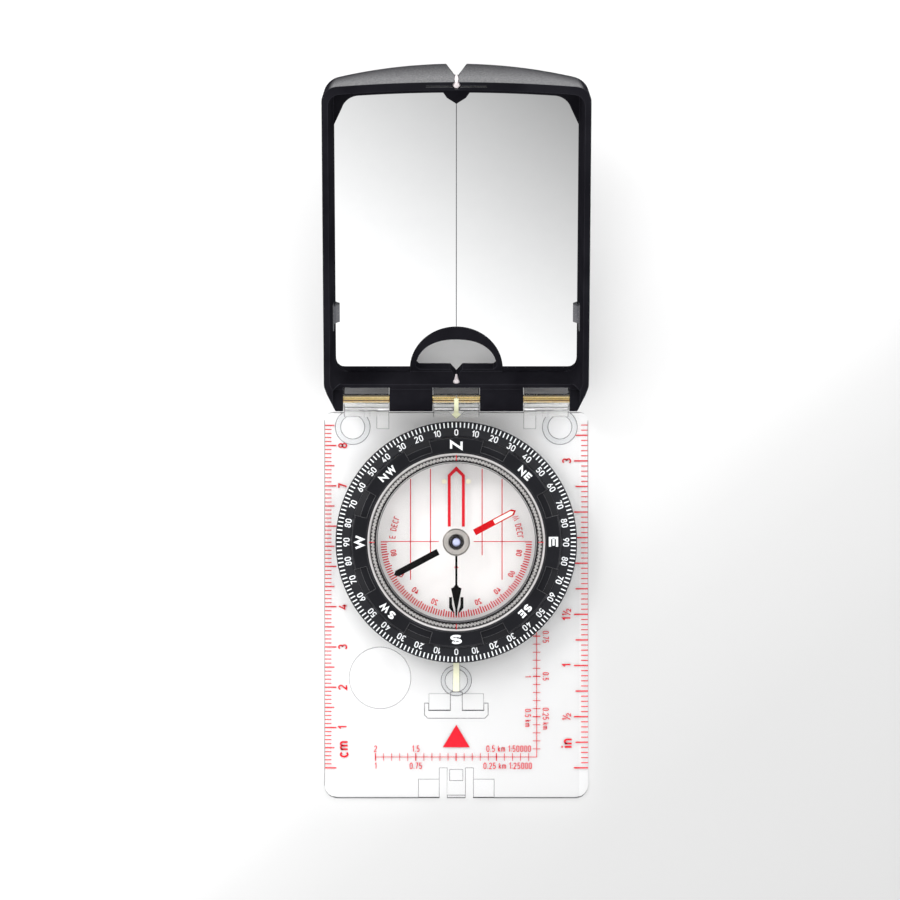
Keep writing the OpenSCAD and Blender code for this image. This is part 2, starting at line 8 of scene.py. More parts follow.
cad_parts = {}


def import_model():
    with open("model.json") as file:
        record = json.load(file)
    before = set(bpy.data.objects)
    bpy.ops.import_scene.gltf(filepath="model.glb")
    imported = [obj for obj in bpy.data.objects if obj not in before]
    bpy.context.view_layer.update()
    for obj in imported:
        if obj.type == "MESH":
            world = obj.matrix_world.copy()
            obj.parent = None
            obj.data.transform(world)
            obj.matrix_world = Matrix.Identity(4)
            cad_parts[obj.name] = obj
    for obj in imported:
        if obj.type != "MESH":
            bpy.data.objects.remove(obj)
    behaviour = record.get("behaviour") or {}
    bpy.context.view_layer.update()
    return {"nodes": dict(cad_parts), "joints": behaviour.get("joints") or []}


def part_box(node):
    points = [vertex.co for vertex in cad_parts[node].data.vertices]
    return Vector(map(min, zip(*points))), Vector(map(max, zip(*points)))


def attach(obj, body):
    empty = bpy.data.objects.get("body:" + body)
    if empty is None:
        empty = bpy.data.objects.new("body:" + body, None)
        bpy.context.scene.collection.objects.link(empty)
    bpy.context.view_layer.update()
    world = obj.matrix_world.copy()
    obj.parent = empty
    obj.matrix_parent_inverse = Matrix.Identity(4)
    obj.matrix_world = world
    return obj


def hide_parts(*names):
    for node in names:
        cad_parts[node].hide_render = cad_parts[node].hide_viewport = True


# A mirror sighting compass on a clear baseplate, seen from straight above. Prints and added pieces are
# drawn in millimetres: from the foot of the dial's axis, or from the hinge's axis for those near it.

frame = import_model()
NODES = frame["nodes"]
JOINTS = {j["name"]: j for j in frame["joints"]}
MM = 0.001
DIAL = Vector(JOINTS["bezel_turn"]["pos_m"])
DIAL.z = 0.0                    # foot of the dial's axis
HINGE = Vector(JOINTS["lid_hinge"]["pos_m"])
TILT = -math.radians(JOINTS["lid_hinge"]["range_deg"][0])     # of the lid at rest, up from flat
scene = bpy.context.scene


def bottom_of(name):
    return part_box(name)[0].z / MM


def top_of(name):
    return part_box(name)[1].z / MM


# ------------------------------------------------------------------ materials

def new_mat(name):
    m = bpy.data.materials.new(name)
    m.use_nodes = True
    nt = m.node_tree
    nt.nodes.clear()
    out = nt.nodes.new("ShaderNodeOutputMaterial")
    return m, nt, out


def noise(nt, scale, detail=3.0, rough=0.55):
    """Noise with scale grains to a metre."""
    co = nt.nodes.new("ShaderNodeTexCoord")
    n = nt.nodes.new("ShaderNodeTexNoise")
    n.inputs["Scale"].default_value = scale
    n.inputs["Detail"].default_value = detail
    n.inputs["Roughness"].default_value = rough
    nt.links.new(co.outputs["Object"], n.inputs["Vector"])
    return n.outputs["Fac"]


def ramp(nt, source, lo, hi, c0, c1):
    """A colour that runs from c0, where source is lo, to c1, where it is hi."""
    r = nt.nodes.new("ShaderNodeValToRGB")
    for el, at, colour in zip(r.color_ramp.elements, (lo, hi), (c0, c1)):
        el.position = at
        el.color = (*colour, 1)
    nt.links.new(source, r.inputs["Fac"])
    return r.outputs["Color"]


def span(nt, source, a, b, lo=0.3, hi=0.7):
    """A number that runs from a, where source is lo, to b, where it is hi."""
    m = nt.nodes.new("ShaderNodeMapRange")
    m.inputs["From Min"].default_value = lo
    m.inputs["From Max"].default_value = hi
    m.inputs["To Min"].default_value = a
    m.inputs["To Max"].default_value = b
    nt.links.new(source, m.inputs["Value"])
    return m.outputs["Result"]


def combine(nt, operation, a, b):
    m = nt.nodes.new("ShaderNodeMath")
    m.operation = operation
    nt.links.new(a, m.inputs[0])
    nt.links.new(b, m.inputs[1])
    return m.outputs[0]


def repainted(nt, base, colour, mask):
    """base where mask is 0 and colour where it is 1."""
    mix = nt.nodes.new("ShaderNodeMix")
    mix.data_type = "RGBA"
    mix.inputs["B"].default_value = (*colour, 1)
    nt.links.new(mask, mix.inputs["Factor"])
    nt.links.new(base, mix.inputs["A"])
    return mix.outputs["Result"]


def rounding(nt, radius, samples):
    """The normal as if edges were rounded, with a radius in millimetres."""
    bev = nt.nodes.new("ShaderNodeBevel")
    bev.samples = samples
    bev.inputs["Radius"].default_value = radius * MM
    return bev.outputs["Normal"]


def bumps(nt, p, height, strength, depth, normal=None):
    """Gives the shader p a relief, depth millimetres deep."""
    b = nt.nodes.new("ShaderNodeBump")
    b.inputs["Strength"].default_value = strength
    b.inputs["Distance"].default_value = depth * MM
    nt.links.new(height, b.inputs["Height"])
    if normal:
        nt.links.new(normal, b.inputs["Normal"])
    nt.links.new(b.outputs["Normal"], p.inputs["Normal"])


def worn_corners(nt, rounded_normal, patches):
    """How much is lightened, by rubbed wear and by a painted sheen on the edges: some of it at corners, where
    the rounded normal leaves the face's own, and more in some patches than in others. Nothing elsewhere."""
    geo = nt.nodes.new("ShaderNodeNewGeometry")
    dot = nt.nodes.new("ShaderNodeVectorMath")
    dot.operation = "DOT_PRODUCT"
    nt.links.new(rounded_normal, dot.inputs[0])
    nt.links.new(geo.outputs["Normal"], dot.inputs[1])
    corner = span(nt, dot.outputs["Value"], 1.0, 0.0, 0.88, 0.99)
    return combine(nt, "MULTIPLY", corner, span(nt, patches, 0.25, 0.8))


def lid_end(nt):
    """Where the painted sheen goes: 1 on the lid's far end face, in coarse grains that thin out downwards,
    and 0 elsewhere.
    """
    co = nt.nodes.new("ShaderNodeTexCoord")
    far = nt.nodes.new("ShaderNodeVectorMath")
    far.operation = "DOT_PRODUCT"
    far.inputs[1].default_value = (0, math.cos(TILT), math.sin(TILT))
    nt.links.new(co.outputs["Normal"], far.inputs[0])
    place = nt.nodes.new("ShaderNodeSeparateXYZ")
    nt.links.new(co.outputs["Object"], place.inputs[0])
    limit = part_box("lid_shell")[1]
    mask = span(nt, far.outputs["Value"], 0.0, 1.0, 0.80, 0.93)
    for part in (span(nt, place.outputs["Y"], 0.0, 1.0, limit.y - 8 * MM, limit.y - 6 * MM),
                 span(nt, place.outputs["Z"], 0.10, 1.0, limit.z - 12.5 * MM, limit.z - 3 * MM),
                 span(nt, noise(nt, 3600, 2, 0.8), 0.35, 1.0)):
        mask = combine(nt, "MULTIPLY", mask, part)
    return mask


def plastic(name, dark, light, rough=(0.35, 0.5), grain=2500, bump=0.06, edge=0.2, spec=0.5, wear_and_sheen=None,
            end=None):
    """Moulded plastic: slow colour change, fine grain, rounded edges, and corners lightened by wear and by
    painted sheen.
    end is the grey of a sheen painted on the lid's far end, laid in the coarser grain the mould leaves there."""
    m, nt, out = new_mat(name)
    p = nt.nodes.new("ShaderNodeBsdfPrincipled")
    p.inputs["Specular IOR Level"].default_value = spec
    slow = noise(nt, 90, 4)
    fine = noise(nt, grain, 2)
    normal = rounding(nt, edge, 6)
    base = ramp(nt, slow, 0.35, 0.65, dark, light)
    # lighter corners: partly rubbed wear, partly painted edge sheen
    if wear_and_sheen:
        base = repainted(nt, base, wear_and_sheen, worn_corners(nt, normal, slow))
    # the lid's far end is greyed: a painted sheen
    if end:
        base = repainted(nt, base, end, lid_end(nt))
    nt.links.new(base, p.inputs["Base Color"])
    nt.links.new(span(nt, fine, *rough), p.inputs["Roughness"])
    bumps(nt, p, fine, bump, 0.1, normal)
    nt.links.new(p.outputs["BSDF"], out.inputs["Surface"])
    return m


def let_light_through(nt, shader, out, colour, steep):
    """Lamps and bounced light pass straight on, so what lies under clear plastic isn't lit twice.
    colour is what they keep of their own, and steep is the part of it that is left at a glancing angle. Above
    1, colour adds painted light to what lies beneath."""
    t = nt.nodes.new("ShaderNodeBsdfTransparent")
    facing = nt.nodes.new("ShaderNodeLayerWeight")
    facing.inputs["Blend"].default_value = 0.35
    glancing = tuple(steep * c for c in colour)
    nt.links.new(ramp(nt, facing.outputs["Facing"], 0.55, 0.98, colour, glancing), t.inputs["Color"])
    lp = nt.nodes.new("ShaderNodeLightPath")
    for ray in ("Is Diffuse Ray", "Is Shadow Ray"):
        mix = nt.nodes.new("ShaderNodeMixShader")
        nt.links.new(lp.outputs[ray], mix.inputs["Fac"])
        nt.links.new(shader, mix.inputs[1])
        nt.links.new(t.outputs["BSDF"], mix.inputs[2])
        shader = mix.outputs["Shader"]
    nt.links.new(shader, out.inputs["Surface"])


def clear(name, tint=(1, 1, 1), rough=0.0, ior=1.49, shadow=(0.985, 0.987, 0.989), wave=0.01, steep=0.9,
          through=1.0):
    """Clear moulding: it refracts, with faint flow waves and patches of dust-fine roughness."""
    m, nt, out = new_mat(name)
    p = nt.nodes.new("ShaderNodeBsdfPrincipled")
    p.inputs["Base Color"].default_value = (*tint, 1)
    p.inputs["Transmission Weight"].default_value = through
    p.inputs["IOR"].default_value = ior
    nt.links.new(span(nt, noise(nt, 900, 3), rough, rough + 0.012, 0.55, 0.85), p.inputs["Roughness"])
    bumps(nt, p, noise(nt, 60, 2), wave, 0.3)
    let_light_through(nt, p.outputs["BSDF"], out, shadow, steep)
    return m


def metal(name, dark, light, rough=(0.16, 0.3), streak=(60, 1800, 1800), bump=0.03):
    """Drawn or turned metal: fine streaks in colour, roughness and relief."""
    m, nt, out = new_mat(name)
    p = nt.nodes.new("ShaderNodeBsdfPrincipled")
    p.inputs["Metallic"].default_value = 1.0
    co = nt.nodes.new("ShaderNodeTexCoord")
    mp = nt.nodes.new("ShaderNodeMapping")
    mp.inputs["Scale"].default_value = streak
    n = nt.nodes.new("ShaderNodeTexNoise")
    n.inputs["Scale"].default_value = 1.0
    n.inputs["Detail"].default_value = 3.0
    nt.links.new(co.outputs["Object"], mp.inputs["Vector"])
    nt.links.new(mp.outputs["Vector"], n.inputs["Vector"])
    nt.links.new(ramp(nt, n.outputs["Fac"], 0.3, 0.7, dark, light), p.inputs["Base Color"])
    nt.links.new(span(nt, n.outputs["Fac"], *rough), p.inputs["Roughness"])
    bumps(nt, p, n.outputs["Fac"], bump, 0.05, rounding(nt, 0.08, 4))
    nt.links.new(p.outputs["BSDF"], out.inputs["Surface"])
    return m


def ink(name, dark, light, rough=(0.4, 0.55), spec=0.15):
    """Printed ink: slight mottling of its colour and a soft sheen."""
    m, nt, out = new_mat(name)
    p = nt.nodes.new("ShaderNodeBsdfPrincipled")
    p.inputs["Specular IOR Level"].default_value = spec
    n = noise(nt, 1500, 3)
    nt.links.new(ramp(nt, n, 0.3, 0.7, dark, light), p.inputs["Base Color"])
    nt.links.new(span(nt, n, *rough), p.inputs["Roughness"])
    nt.links.new(p.outputs["BSDF"], out.inputs["Surface"])
    return m


def mirror_glass():
    """Silvered glass with a thin clear coat and the faintest clouding."""
    m, nt, out = new_mat("mirror_glass")
    p = nt.nodes.new("ShaderNodeBsdfPrincipled")
    p.inputs["Metallic"].default_value = 1.0
    p.inputs["Coat Weight"].default_value = 0.3
    p.inputs["Coat Roughness"].default_value = 0.0
    n = noise(nt, 260, 4)
    silver = ramp(nt, n, 0.2, 0.8, (0.925, 0.93, 0.935), (0.945, 0.95, 0.952))
    nt.links.new(silver, p.inputs["Base Color"])
    nt.links.new(span(nt, n, 0.0, 0.02, 0.45, 0.8), p.inputs["Roughness"])
    nt.links.new(p.outputs["BSDF"], out.inputs["Surface"])
    return m


M = {
    # clear mouldings; shadow tones above 1 brighten what lies under the plate, disc and capsule with painted
    # light
    "plate": clear("clear_plate", shadow=(1.09, 1.09, 1.092), wave=0.003, steep=0.75),
    "disc": clear("clear_disc", ior=1.3, shadow=(1.08, 1.08, 1.08), wave=0.003, steep=1),
    "capsule": clear("clear_capsule", tint=(1, 0.994, 0.992), ior=1.25, shadow=(1.088, 1.083, 1.081),
                     wave=0.004, steep=1),
    "rubber": clear("clear_rubber", tint=(0.96, 0.965, 0.97), rough=0.03, ior=1.40,
                    shadow=(0.96, 0.965, 0.97)),
    "needle": clear("needle_clear", ior=1.12, shadow=(1, 1, 1), steep=1),
    # rounded edges and knuckle backs: painted reflections and shade, dark tints that stand in for what they
    # reflect
    "edge_high": clear("clear_edge_high", tint=(0.20, 0.20, 0.205), rough=0.18, shadow=(0.9, 0.9, 0.9),
                       through=0.5),
    "edge_dark": clear("clear_edge_dark", tint=(0.02, 0.02, 0.022), rough=0.10, shadow=(0.6, 0.6, 0.6),
                       through=0.1),
    "edge_low": clear("clear_edge_low", tint=(0.12, 0.12, 0.125), rough=0.14, shadow=(0.80, 0.80, 0.81),
                      through=0.85),
    "edge_mid": clear("clear_edge_mid", tint=(0.5, 0.5, 0.51), rough=0.16, shadow=(0.9, 0.9, 0.9)),
    "knuckle_shade": clear("clear_knuckle_shade", tint=(0.05, 0.05, 0.053), rough=0.05, ior=1.15, shadow=(0.9, 0.9, 0.9)),
    # coloured plastics and stone
    # the wear colours light the rounded corners: partly rubbed wear, partly painted edge sheen
    "bezel": plastic("bezel_black", (0.010, 0.0105, 0.0135), (0.017, 0.0175, 0.0215), (0.36, 0.52),
                     grain=3500, bump=0.16, edge=0.12, spec=0.18, wear_and_sheen=(0.05, 0.05, 0.055)),
    "ring": plastic("ring_black", (0.005, 0.0052, 0.0072), (0.009, 0.0092, 0.012), (0.32, 0.46),
                    grain=3500, bump=0.14, edge=0.18, spec=0.16, wear_and_sheen=(0.20, 0.20, 0.21)),
    # the lid's grey far end is a painted sheen
    "lid": plastic("lid_black", (0.0085, 0.0082, 0.0108), (0.0140, 0.0136, 0.0172), (0.42, 0.6),
                   grain=3200, bump=0.30, edge=0.3, spec=0.0, wear_and_sheen=(0.05, 0.05, 0.06),
                   end=(0.22, 0.22, 0.225)),
    "gear": plastic("gear_grey", (0.10, 0.10, 0.11), (0.16, 0.16, 0.17), (0.3, 0.4),
                    grain=3000, bump=0.03, edge=0.04),
    "holder": plastic("holder_black", (0.006, 0.006, 0.007), (0.012, 0.012, 0.014), (0.15, 0.25),
                      grain=3000, bump=0.02, edge=0.06),
    "jewel": plastic("jewel_stone", (0.36, 0.40, 0.62), (0.50, 0.54, 0.74), (0.05, 0.1),
                     grain=600, bump=0.01, edge=0.08, spec=0.8),
    "arrow": plastic("clinometer_black", (0.002, 0.002, 0.002), (0.004, 0.004, 0.004), (0.6, 0.7),
                     grain=3000, bump=0.03, edge=0.03, spec=0.04),
    "pad": plastic("pad_foam", (0.05, 0.05, 0.05), (0.09, 0.09, 0.09), (0.7, 0.9), grain=1500, bump=0.5),
    "clip": plastic("clip_grey", (0.085, 0.085, 0.095), (0.125, 0.125, 0.140), (0.18, 0.3),
                    grain=1800, bump=0.04, edge=0.1, spec=0.6),
    "bead": plastic("bead_white", (0.60, 0.54, 0.55), (0.70, 0.64, 0.65), (0.3, 0.42),
                    grain=1500, bump=0.05, edge=0.1),
    # a light ring for the glint on the capsule's shoulder: painted highlight
    "edge": plastic("shoulder_painted_highlight", (0.52, 0.50, 0.50), (0.66, 0.64, 0.64), (0.08, 0.16),
                    grain=1800, bump=0.03, edge=0.05, spec=0.9),
    # metals and mirror
    "brass": metal("brass", (0.92, 0.66, 0.24), (0.98, 0.80, 0.40)),
    "steel": metal("pivot_steel", (0.55, 0.55, 0.58), (0.72, 0.72, 0.75)),
    "magnet": metal("magnet", (0.73, 0.70, 0.66), (0.78, 0.75, 0.71), (0.27, 0.33), (2200, 2200, 2200), 0.01),
    "mirror": mirror_glass(),
    # inks and paints
    "lume": ink("luminous", (0.70, 0.71, 0.46), (0.78, 0.79, 0.56), (0.5, 0.7)),
    # the front strip's lighter copy of the luminous paint is painted light
    "lume_front_lit": ink("luminous_front_lit", (0.84, 0.84, 0.60), (0.90, 0.90, 0.70), (0.5, 0.7)),
    "lume_paint": ink("lume_paint", (0.84, 0.84, 0.74), (0.90, 0.90, 0.82)),
    "dots": ink("lume_dots", (0.82, 0.78, 0.58), (0.88, 0.85, 0.68)),
    "red": ink("ink_red", (0.60, 0.004, 0.016), (0.68, 0.008, 0.024)),
    "red_paint": ink("paint_red", (0.44, 0.001, 0.004), (0.52, 0.003, 0.007), (0.25, 0.35)),
    "white": ink("ink_white", (0.84, 0.86, 0.88), (0.92, 0.94, 0.96)),
    "black": ink("ink_black", (0.002, 0.002, 0.002), (0.005, 0.005, 0.005), (0.5, 0.65), 0.05),
    "grey": ink("line_grey", (0.10, 0.10, 0.105), (0.15, 0.15, 0.155), (0.3, 0.4)),
    # the capsule's toothed band: a painted picture of the lit gear seen through the shoulder
    "band": ink("band_grey", (0.30, 0.285, 0.28), (0.44, 0.43, 0.42), (0.2, 0.35)),
    "tooth": ink("tooth_dark", (0.020, 0.018, 0.020), (0.040, 0.037, 0.038), (0.2, 0.35)),
}

# What each CAD node is made of
WEARS = {
    "baseplate": "plate", "foot_left": "rubber", "foot_right": "rubber", "foot_front": "rubber",
    "index_strip_front": "lume_front_lit", "index_strip_rear": "lume",
    "bezel_ring": "bezel", "cardinal_ring": "ring", "scale_disc": "disc",
    "declination_screw": "brass", "declination_gear": "gear", "capsule_cup": "capsule",
    "capsule_cover": "capsule", "pivot_pin": "steel", "clinometer_bush": "brass", "needle_blade": "needle",
    "needle_magnet": "magnet", "jewel_holder": "holder", "jewel": "jewel", "clinometer_arrow": "arrow",
    "lid_shell": "lid", "mirror": "mirror", "mirror_pad": "pad", "mirror_clip_left": "clip",
    "mirror_clip_right": "clip", "sight_bead_front": "bead", "sight_bead_rear": "bead",
    "hinge_pin_left": "brass", "hinge_pin_right": "brass",
}
for name, key in WEARS.items():
    o = NODES[name]
    if not o.material_slots:
        o.data.materials.append(None)
    for s in o.material_slots:
        s.link = "OBJECT"
        s.material = M[key]


# ------------------------------------------------------------------ prints

def bow(cx, cy, rx, ry, a0, a1, n=12):
    """Points on an arc, from angle a0 to a1 in degrees."""
    steps = [math.radians(a0 + (a1 - a0) * i / n) for i in range(n + 1)]
    return [(cx + rx * math.cos(a), cy + ry * math.sin(a)) for a in steps]


def glyphs():
    """Plain engineering characters as pen strokes, one unit high, and their widths."""
    tall = bow(0.28, 0.72, 0.28, 0.28, 0, 180) + bow(0.28, 0.28, 0.28, 0.28, 180, 360)
    g = {
        "0": [tall + tall[:1]],
        "1": [[(0.0, 0.76), (0.26, 1), (0.26, 0)]],
        "2": [bow(0.27, 0.73, 0.27, 0.27, 170, -38) + [(0.0, 0), (0.56, 0)]],
        "3": [bow(0.26, 0.755, 0.24, 0.245, 155, -90), bow(0.26, 0.265, 0.28, 0.265, 90, -155)],
        "4": [[(0.36, 1), (0.0, 0.25), (0.58, 0.25)], [(0.42, 0.52), (0.42, 0)]],
        "5": [[(0.52, 1), (0.07, 1), (0.04, 0.53)] + bow(0.26, 0.31, 0.28, 0.31, 128, -150)],
        "6": [bow(0.28, 0.29, 0.28, 0.29, 0, 360, 20), [(0.02, 0.38), (0.38, 1)]],
        "7": [[(0, 1), (0.54, 1), (0.18, 0)]],
        "8": [bow(0.28, 0.76, 0.235, 0.24, 0, 360, 20), bow(0.28, 0.265, 0.28, 0.265, 0, 360, 20)],
        "9": [bow(0.28, 0.71, 0.28, 0.29, 0, 360, 20), [(0.54, 0.62), (0.18, 0)]],
        "N": [[(0, 0), (0, 1), (0.60, 0), (0.60, 1)]],
        "E": [[(0.50, 1), (0, 1), (0, 0), (0.50, 0)], [(0, 0.51), (0.44, 0.51)]],
        "S": [bow(0.28, 0.755, 0.26, 0.245, 28, 270) + bow(0.28, 0.255, 0.28, 0.255, 90, -150)],
        "W": [[(0, 1), (0.22, 0), (0.44, 0.96), (0.66, 0), (0.88, 1)]],
        "D": [[(0.2, 1)] + bow(0.22, 0.5, 0.32, 0.5, 90, -90) + [(0.2, 0), (0, 0), (0, 1), (0.2, 1)]],
        "C": [bow(0.28, 0.71, 0.28, 0.29, 25, 180) + bow(0.28, 0.29, 0.28, 0.29, 180, 335)],
        "L": [[(0, 1), (0, 0), (0.46, 0)]],
        "c": [bow(0.24, 0.35, 0.24, 0.35, 40, 320)],
        "m": [[(0, 0), (0, 0.7)], bow(0.19, 0.48, 0.19, 0.21, 180, 0) + [(0.38, 0)],
              bow(0.57, 0.48, 0.19, 0.21, 180, 0) + [(0.76, 0)]],
        "n": [[(0, 0), (0, 0.7)], bow(0.21, 0.46, 0.21, 0.23, 180, 0) + [(0.42, 0)]],
        "i": [[(0.02, 0), (0.02, 0.7)], [(0.02, 0.88), (0.02, 1.02)]],
        "k": [[(0, 0), (0, 1)], [(0.40, 0.7), (0.03, 0.27)], [(0.14, 0.40), (0.44, 0)]],
        ".": [[(0.02, 0), (0.02, 0.13)]],
        ":": [[(0.02, 0.04), (0.02, 0.18)], [(0.02, 0.52), (0.02, 0.66)]],
        " ": [],
    }
    half = [[(0.0, 0.92), (0.16, 1.04), (0.16, 0.52)], [(0.06, 0.0), (0.62, 1.0)]]
    half.append([(x * 0.66 + 0.52, y * 0.52 - 0.02) for x, y in g["2"][0]])
    g["½"] = half
    wide = {c: max([x for line in lines for x, y in line], default=0.12) for c, lines in g.items()}
    return g, wide


GLYPHS, WIDE = glyphs()


def around(bearing, r):
    """The point at radius r, at a bearing clockwise from the far end."""
    a = math.radians(bearing)
    return r * math.sin(a), r * math.cos(a)


class Print:
    """Flat printed shapes, gathered in one mesh. place turns x and y in millimetres into a point."""

    def __init__(self, place):
        self.bm = bmesh.new()
        self.place = place

    def poly(self, pts):
        self.bm.faces.new([self.bm.verts.new(self.place(x, y)) for x, y in pts])

    def bar(self, x0, y0, x1, y1, w):
        """A straight bar of width w from one point to another."""
        d = Vector((x1 - x0, y1 - y0)).normalized()
        n = Vector((-d.y, d.x)) * w / 2
        self.poly([(x0 - n.x, y0 - n.y), (x1 - n.x, y1 - n.y), (x1 + n.x, y1 + n.y), (x0 + n.x, y0 + n.y)])

    def ray(self, bearing, r0, r1, w):
        """A bar that points away from the origin, from radius r0 to r1."""
        self.bar(*around(bearing, r0), *around(bearing, r1), w)

    def ring(self, r0, r1):
        """A band round the origin, from radius r0 to r1."""
        n = 180
        for i in range(n):
            a, b = 2 * math.pi * i / n, 2 * math.pi * (i + 1) / n
            corners = ((r0, a), (r1, a), (r1, b), (r0, b))
            self.poly([(r * math.cos(t), r * math.sin(t)) for r, t in corners])

    def disc(self, x, y, r):
        n = 24
        turns = [2 * math.pi * i / n for i in range(n)]
        self.poly([(x + r * math.cos(t), y + r * math.sin(t)) for t in turns])

    def stroke(self, pts, pen):
        """A line of even width along the points, with mitred corners."""
        closed = math.dist(pts[0], pts[-1]) < 1e-6
        v = [Vector(p) for p in (pts[:-1] if closed else pts)]
        n = len(v)
        left, right = [], []
        for i in range(n):
            before = (v[i] - v[i - 1]) if (closed or i) else (v[1] - v[0])
            after = (v[(i + 1) % n] - v[i]) if (closed or i < n - 1) else before
            before, after = before.normalized(), after.normalized()
            m = before + after
            m = m.normalized() if m.length > 1e-6 else before
            side = Vector((-m.y, m.x)) * pen / 2 / max(0.42, m.dot(before))      # limits long mitres
            left.append(v[i] + side)
            right.append(v[i] - side)
        for i in range(n if closed else n - 1):
            j = (i + 1) % n
            self.poly([right[i], right[j], left[j], left[i]])

    def text(self, s, x, y, h, turn=0.0, wide=1.0, pen=0.16, flip=False, space=0.16):
        """Text centred on x, y with capital height h, turned anticlockwise by turn degrees. wide stretches
        it, flip turns each character over, and pen and space are parts of the height."""
        space += pen
        long = sum(WIDE[c] for c in s) + space * (len(s) - 1)
        a = math.radians(turn)
        ca, sa = math.cos(a), math.sin(a)
        at = -long / 2
        for c in s:
            for line in GLYPHS[c]:
                pts = []
                for gx, gy in line:
                    u = (at + gx) * h * wide
                    w = (gy - 0.5) * h * (-1 if flip else 1)
                    pts.append((x + u * ca - w * sa, y + u * sa + w * ca))
                self.stroke(pts, pen * h * (0.62 if c == "½" else 1))
            at += WIDE[c] + space

    def done(self, name, body, mat):
        """Makes the piece, and leaves the print finished."""
        me = bpy.data.meshes.new(name)
        bmesh.ops.recalc_face_normals(self.bm, faces=self.bm.faces)
        self.bm.to_mesh(me)
        self.bm.free()
        me.materials.append(mat)
        o = bpy.data.objects.new(name, me)
        scene.collection.objects.link(o)
        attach(o, body)


def flat(z):
    """A level place z millimetres up, about the dial's axis."""
    return lambda x, y: DIAL + Vector((x, y, z)) * MM


def lid_plane(z):
    """A place that tilts with the lid, z millimetres off the hinge's axis."""
    turn = Matrix.Rotation(TILT, 4, "X")
    return lambda x, y: HINGE + turn @ (Vector((x, y, z)) * MM)


RULER_ZERO = -56.1              # y where both rulers start
INCH = 25.4


def rulers(p):
    """Millimetres on the left, twentieths of an inch on the right, and the pointer between them."""
    for i in range(86):
        x = -29.75 if i % 10 == 0 else (-30.25 if i % 5 == 0 else -30.6)
        y = RULER_ZERO + i
        p.bar(-32.55, y, x, y, 0.34 if i % 5 == 0 else 0.25)
    for i in range(1, 9):
        p.text(str(i), -28.2, RULER_ZERO + i * 10, 1.9, 90, 0.95, 0.19)
    p.text("cm", -28.2, -51.5, 2.5, 90, 0.95, 0.185)
    for i in range(68):
        x = 29.2 if i % 10 == 0 else (29.6 if i % 5 == 0 else 30.6)
        y = RULER_ZERO + i * INCH / 20
        p.bar(x, y, 32.5, y, 0.34 if i % 5 == 0 else 0.25)
    for s, inches in (("½", 0.5), ("1", 1), ("1½", 1.5), ("2", 2), ("2½", 2.5), ("3", 3)):
        p.text(s, 27.4, RULER_ZERO + inches * INCH, 1.9, 90, 0.95, 0.19)
    p.text("in", 27.4, -50.0, 2.5, 90, 0.95, 0.185)
    p.poly([(-3.35, -51.0), (3.35, -51.0), (0, -45.4)])


def map_scales(p):
    """The two map scales, which share one line with a corner at the right."""
    y0, x0 = -53.4, 19.95
    p.bar(x0 - 40.1, y0, x0 + 0.1, y0, 0.17)
    for i in range(1, 21):
        x = x0 - 2 * i
        p.bar(x, y0 - 0.95, x, y0 + 0.95, 0.26 if i % 5 == 0 else 0.16)
    p.bar(x0, y0, x0, y0 + 31.2, 0.17)
    for i in range(1, 16):
        y = y0 + 2 * i
        p.bar(x0 - 0.95, y, x0 + 0.95, y, 0.26 if i % 5 == 0 else 0.16)
    for s, x, y in (("2", -20.05, -51.35), ("1.5", -10.05, -51.35), ("0.5 km 1:50000", 13.0, -51.35),
                    ("1", -20.05, -55.6), ("0.75", -10.05, -55.6), ("0.25 km 1:25000", 12.75, -55.6)):
        p.text(s, x, y, 1.42, 0, 0.70, 0.14, space=0.27)
    for s, x, y in (("0.25 km", 22.2, -43.9), ("0.5", 22.2, -33.4), ("0.75", 22.2, -23.6),
                    ("0.5 km", 17.8, -43.7), ("1", 17.8, -33.4)):
        p.text(s, x, y, 1.36, -90, 0.70, 0.14, space=0.27)


def plate_print():
    """The red print on the underside of the plate."""
    p = Print(flat(bottom_of("baseplate") - 0.015))
    rulers(p)
    map_scales(p)
    p.done("print_plate_red", "base", M["red"])


def bezel_print():
    """Ticks and numerals on the bezel's slope, in quarters of 0 to 90 degrees."""
    slope_start, slope_end = 26.3, 29.65          # radii between which the bezel falls by 1 mm
    crest = top_of("bezel_ring")

    def cone(x, y):
        r = math.hypot(x, y)
        z = crest - (r - slope_start) / (slope_end - slope_start)
        return DIAL + Vector((x, y, z + 0.03)) * MM
    p = Print(cone)
    for i in range(180):
        p.ray(i * 2, 28.35, 29.62, 0.30)
    for bearing in range(0, 360, 10):
        q = bearing % 180
        v = q if q <= 90 else 180 - q
        p.text(str(v), *around(bearing, 27.15), 1.35, -bearing, 0.95, 0.19)
    p.done("print_bezel_white", "bezel", M["white"])


def letters_print():
    """The eight compass letters on the raised ring."""
    p = Print(flat(top_of("cardinal_ring") + 0.025))
    for i, s in enumerate(("N", "NE", "E", "SE", "S", "SW", "W", "NW")):
        bearing = i * 45
        if len(s) == 1:
            height, wide = 1.75, 1.9 if s == "W" else 2.45
        else:
            height, wide = 1.45, 1.6
        p.text(s, *around(bearing, 24.0), height, -bearing, wide, 0.31, space=0.06)
    p.done("print_letters_white", "bezel", M["white"])


def disc_print():
    """The red declination scale on top of the clear disc. Its characters stand on their heads."""
    p = Print(flat(top_of("scale_disc") + 0.02))
    for i in range(91):
        p.ray(90 + i * 2, 17.0 if i % 5 == 0 else 17.3, 18.75, 0.29)
    for v in (20, 40, 60, 80):
        for bearing in (180 - v, 180 + v):
            p.text(str(v), *around(bearing, 15.8), 1.2, -bearing, 0.76, 0.2, flip=True)
    for s, mid in (("E DECL", 283.2), ("W DECL", 77)):
        for i, ch in enumerate(s):
            if ch != " ":
                bearing = mid + (i - 2.5) * 3.5
                p.text(ch, *around(bearing, 15.9), 1.35, -bearing, 0.85, 0.16, flip=True)
    p.done("print_disc_red", "bezel", M["red"])


